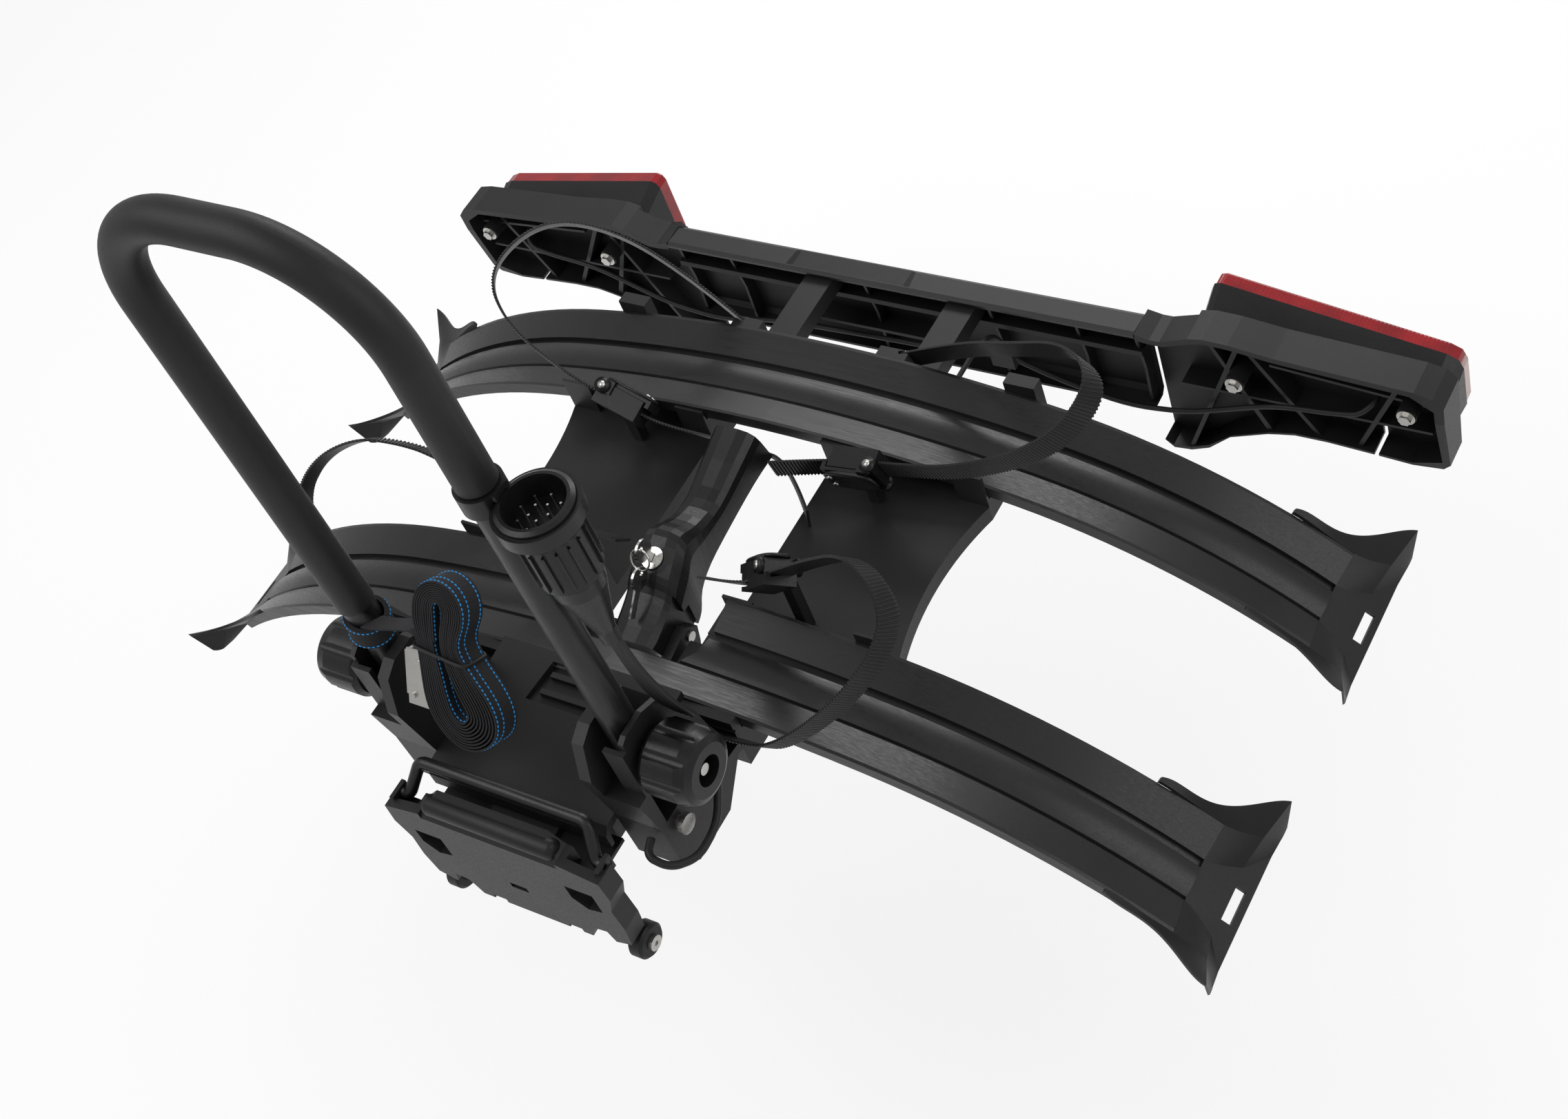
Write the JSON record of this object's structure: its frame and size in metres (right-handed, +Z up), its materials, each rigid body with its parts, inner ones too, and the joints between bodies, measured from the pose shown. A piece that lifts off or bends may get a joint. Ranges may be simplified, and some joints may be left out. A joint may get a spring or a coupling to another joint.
{
  "type": "towball bike carrier",
  "caption": "Towball-mounted bike carrier with two arched wheel rails, a fold-down mast, ratchet wheel straps, a clamp lever with lock, a tilting platform and a lamp bar.",
  "frame": {"origin": "centre of the towball that the coupling clamps", "axes": "+X along the wheel rails to the plug's side, +Y away from the vehicle towards the lamp bar, +Z up along the mast"},
  "size_m": [1.0758, 0.755, 0.821],
  "materials": {
    "rail": "satin black anodised",
    "shoe": "fine grain",
    "moulding": "fine grain",
    "coupling_metal": "black coated",
    "lever": "satin",
    "steel": "zinc plated",
    "bail": "satin black",
    "mast_tube": "satin black",
    "mast_sleeve": "matte",
    "knob": "fine grain",
    "wheel": "matte",
    "plug": "satin",
    "brass": "bright",
    "lead": "satin",
    "webbing": "woven",
    "strap": "satin",
    "buckle": "satin",
    "lamp_housing": "satin",
    "lens": "clear gloss",
    "chrome": "polished"
  },
  "bodies": {
    "coupling": {"coupling_head": "coupling_metal", "lever_pin": "steel", "foot_plate": "moulding", "wheel_axle_bolts": "steel", "tilt_pin": "steel"},
    "platform": {"front_rail": "rail", "rear_rail": "rail", "front_right_shoe": "shoe", "front_left_shoe": "shoe", "rear_right_shoe": "shoe", "rear_left_shoe": "shoe", "right_deck_plate": "moulding", "left_deck_plate": "moulding", "right_side_bracket": "moulding", "left_side_bracket": "moulding", "right_cheek": "moulding", "left_cheek": "moulding", "floor_panel": "moulding", "knob_bolts": "steel", "lamp_bar_centre": "moulding", "lamp_bar_right_end": "moulding", "lamp_bar_left_end": "moulding", "right_lamp_housing": "lamp_housing", "left_lamp_housing": "lamp_housing", "right_lamp_lens": "lens", "left_lamp_lens": "lens", "lamp_bolts": "steel", "rear_right_strap": "strap", "rear_left_strap": "strap", "front_right_strap": "strap", "front_left_strap": "strap", "buckle_bases": "buckle", "strap_bolts": "steel", "lead_loop": "lead", "lamp_lead": "lead"},
    "mast": {"mast_tube": "mast_tube", "mast_sleeve": "mast_sleeve", "plug": "plug", "plug_pins": "brass", "plug_holder": "plug", "lead_runs": "lead", "webbing_loop": "webbing", "webbing_bundle": "webbing", "cam_buckle": "steel"},
    "lever": {"clamp_lever": "lever"},
    "jaw": {"clamp_jaw": "coupling_metal"},
    "bail": {"release_bail": "bail"},
    "right_wheel": {"right_wheel": "wheel"},
    "left_wheel": {"left_wheel": "wheel"},
    "right_knob": {"right_knob": "knob"},
    "left_knob": {"left_knob": "knob"},
    "lock": {"lock_cylinder": "chrome", "lock_key": "chrome"},
    "keys": {"key_ring": "chrome", "hanging_key": "chrome"},
    "rear_right_buckle": {"rear_right_buckle_lever": "buckle"},
    "rear_left_buckle": {"rear_left_buckle_lever": "buckle"},
    "front_right_buckle": {"front_right_buckle_lever": "buckle"},
    "front_left_buckle": {"front_left_buckle_lever": "buckle"}
  },
  "joints": [
    {"name": "platform_tilt", "type": "hinge", "parent": "coupling", "child": "platform", "pos_m": [0, -0.038, 0.06], "axis": [-1, 0, 0], "range_deg": [0, 30]},
    {"name": "mast_fold", "type": "hinge", "parent": "platform", "child": "mast", "pos_m": [0, -0.026, 0.14], "axis": [-1, 0, 0], "range_deg": [0, 45]},
    {"name": "clamp_lever_lift", "type": "hinge", "parent": "coupling", "child": "lever", "pos_m": [0, 0.135, 0.035], "axis": [1, 0, 0], "range_deg": [0, 40]},
    {"name": "jaw_slide", "type": "slide", "parent": "coupling", "child": "jaw", "axis": [0, 1, 0], "range_m": [0, 0.0082]},
    {"name": "bail_swing", "type": "hinge", "parent": "coupling", "child": "bail", "pos_m": [0, -0.097, 0.067], "axis": [1, 0, 0], "range_deg": [0, 25]},
    {"name": "right_wheel_spin", "type": "hinge", "parent": "coupling", "child": "right_wheel", "pos_m": [0.097, -0.099, -0.051], "axis": [1, 0, 0], "continuous": true},
    {"name": "left_wheel_spin", "type": "hinge", "parent": "coupling", "child": "left_wheel", "pos_m": [-0.097, -0.099, -0.051], "axis": [1, 0, 0], "continuous": true},
    {"name": "right_knob_turn", "type": "hinge", "parent": "platform", "child": "right_knob", "pos_m": [0.164, -0.026, 0.14], "axis": [1, 0, 0], "continuous": true},
    {"name": "left_knob_turn", "type": "hinge", "parent": "platform", "child": "left_knob", "pos_m": [-0.164, -0.026, 0.14], "axis": [1, 0, 0], "continuous": true},
    {"name": "lock_turn", "type": "hinge", "parent": "lever", "child": "lock", "pos_m": [0, 0.164, 0.0948], "axis": [0, -0.3, 0.9539], "range_deg": [0, 60]},
    {"name": "keys_swing", "type": "hinge", "parent": "lock", "child": "keys", "pos_m": [0, 0.1568, 0.11769], "axis": [-1, 0, 0], "range_deg": [0, 60]},
    {"name": "rear_right_buckle_open", "type": "hinge", "parent": "platform", "child": "rear_right_buckle", "pos_m": [0.13912, 0.30882, 0.08276], "axis": [-0.1173, -0.2415, 0.9633], "range_deg": [0, 45]},
    {"name": "rear_left_buckle_open", "type": "hinge", "parent": "platform", "child": "rear_left_buckle", "pos_m": [-0.1476, 0.32161, 0.09461], "axis": [0.231, -0.421, 0.8772], "range_deg": [0, 45]},
    {"name": "front_right_buckle_open", "type": "hinge", "parent": "platform", "child": "front_right_buckle", "pos_m": [0.13112, 0.17234, 0.12203], "axis": [0.5897, 0.5435, -0.5973], "range_deg": [0, 45]},
    {"name": "front_left_buckle_open", "type": "hinge", "parent": "platform", "child": "front_left_buckle", "pos_m": [-0.13552, 0.16303, 0.12122], "axis": [-0.5244, 0.6462, -0.5545], "range_deg": [0, 45]}
  ],
  "couplings": [
    {"joint": "jaw_slide", "follows": "clamp_lever_lift", "m_per_rad": 0.0115}
  ]
}
